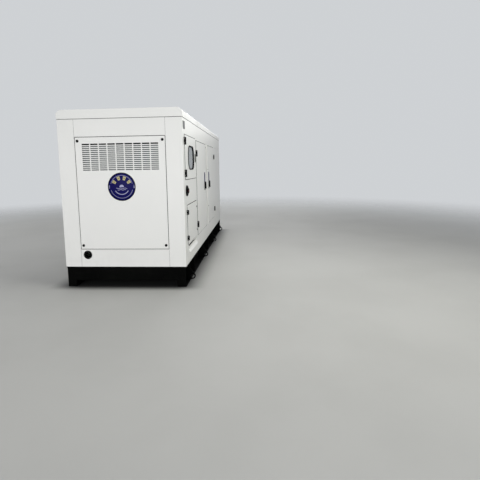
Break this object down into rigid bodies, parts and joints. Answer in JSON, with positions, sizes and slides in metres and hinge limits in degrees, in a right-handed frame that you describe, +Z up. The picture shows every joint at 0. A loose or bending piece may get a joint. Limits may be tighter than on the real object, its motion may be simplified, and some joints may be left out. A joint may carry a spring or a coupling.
{
  "type": "silenced generating set",
  "caption": "Generating set in a white soundproof canopy on a black skid, with louvred ends, hinged side doors, a control window and lifting lugs.",
  "frame": {"origin": "middle of the box at floor level, under the middle of the skid", "axes": "+Z up, +Y from the control end wall to the other end along the length, +X to the side with the control door"},
  "size_m": [1.526, 4.016, 2.003],
  "materials": {
    "canopy_paint": "semi-gloss",
    "base_paint": "satin",
    "black_fittings": "semi-gloss",
    "black_plastic": "satin",
    "black_rubber": "matte",
    "window_glass": "gloss",
    "grey_panel": "satin",
    "engine_paint": "semi-gloss",
    "exhaust_steel": "satin",
    "red_plastic": "gloss"
  },
  "bodies": {
    "canopy": {"base_rails": "base_paint", "base_end_plates": "base_paint", "base_cross_members": "base_paint", "base_deck": "base_paint", "lifting_lugs": "base_paint", "corner_posts": "canopy_paint", "end_headers": "canopy_paint", "end_sills": "canopy_paint", "front_panel": "canopy_paint", "rear_panel": "canopy_paint", "air_baffles": "canopy_paint", "side_headers": "canopy_paint", "right_sill": "canopy_paint", "left_sill": "canopy_paint", "door_posts": "canopy_paint", "rear_side_panels": "canopy_paint", "control_bay_panel": "canopy_paint", "inlet_frame": "canopy_paint", "inlet_blades": "canopy_paint", "cable_tray": "canopy_paint", "roof_front": "canopy_paint", "roof_middle": "canopy_paint", "roof_rear": "canopy_paint", "roof_joint_strips": "canopy_paint", "control_cabinet": "canopy_paint", "panel_knobs": "black_fittings", "cable_grommet": "black_rubber", "control_panel": "grey_panel", "output_breaker": "grey_panel", "stop_housing": "black_plastic", "stop_button": "red_plastic", "hinge_bases": "black_fittings", "engine_beams": "base_paint", "rubber_mounts": "black_rubber", "alternator": "engine_paint", "engine": "engine_paint", "exhaust": "exhaust_steel", "air_cleaner": "black_fittings", "cooling_fan": "black_plastic", "radiator": "black_fittings"},
    "control_door": {"control_door": "canopy_paint", "control_window": "window_glass", "window_rubber": "black_rubber", "control_door_fittings": "black_fittings"},
    "control_latch": {"control_latch": "black_plastic"},
    "output_door": {"output_door": "canopy_paint", "output_door_fittings": "black_fittings"},
    "right_front_door": {"right_front_door": "canopy_paint", "right_front_door_fittings": "black_fittings"},
    "right_front_handle": {"right_front_handle": "black_plastic"},
    "right_rear_door": {"right_rear_door": "canopy_paint", "right_rear_door_fittings": "black_fittings"},
    "right_rear_handle": {"right_rear_handle": "black_plastic"},
    "left_front_door": {"left_front_door": "canopy_paint", "left_front_door_fittings": "black_fittings"},
    "left_front_handle": {"left_front_handle": "black_plastic"},
    "left_rear_door": {"left_rear_door": "canopy_paint", "left_rear_door_fittings": "black_fittings"},
    "left_rear_handle": {"left_rear_handle": "black_plastic"}
  },
  "joints": [
    {"name": "control_door_hinge", "type": "hinge", "parent": "canopy", "child": "control_door", "pos_m": [0.714, -1.8965, 1.466], "axis": [0, 0, -1], "range_deg": [0, 110]},
    {"name": "output_door_hinge", "type": "hinge", "parent": "canopy", "child": "output_door", "pos_m": [0.714, -1.8465, 0.686], "axis": [0, 0, -1], "range_deg": [0, 110]},
    {"name": "right_front_door_hinge", "type": "hinge", "parent": "canopy", "child": "right_front_door", "pos_m": [0.714, -1.1005, 1.07], "axis": [0, 0, -1], "range_deg": [0, 110]},
    {"name": "right_rear_door_hinge", "type": "hinge", "parent": "canopy", "child": "right_rear_door", "pos_m": [0.714, 0.9005, 1.07], "axis": [0, 0, 1], "range_deg": [0, 110]},
    {"name": "left_front_door_hinge", "type": "hinge", "parent": "canopy", "child": "left_front_door", "pos_m": [-0.714, -1.1005, 1.07], "axis": [0, 0, 1], "range_deg": [0, 110]},
    {"name": "left_rear_door_hinge", "type": "hinge", "parent": "canopy", "child": "left_rear_door", "pos_m": [-0.714, 0.9005, 1.07], "axis": [0, 0, -1], "range_deg": [0, 110]},
    {"name": "control_latch_pivot", "type": "hinge", "parent": "control_door", "child": "control_latch", "pos_m": [0.7, -1.212, 1.4895], "axis": [0, -1, 0], "range_deg": [0, 60]},
    {"name": "right_front_handle_pivot", "type": "hinge", "parent": "right_front_door", "child": "right_front_handle", "pos_m": [0.7, -0.35, 1.247], "axis": [0, -1, 0], "range_deg": [0, 60]},
    {"name": "right_rear_handle_pivot", "type": "hinge", "parent": "right_rear_door", "child": "right_rear_handle", "pos_m": [0.7, 0.15, 1.247], "axis": [0, -1, 0], "range_deg": [0, 60]},
    {"name": "left_front_handle_pivot", "type": "hinge", "parent": "left_front_door", "child": "left_front_handle", "pos_m": [-0.7, -0.35, 1.247], "axis": [0, 1, 0], "range_deg": [0, 60]},
    {"name": "left_rear_handle_pivot", "type": "hinge", "parent": "left_rear_door", "child": "left_rear_handle", "pos_m": [-0.7, 0.15, 1.247], "axis": [0, 1, 0], "range_deg": [0, 60]}
  ]
}
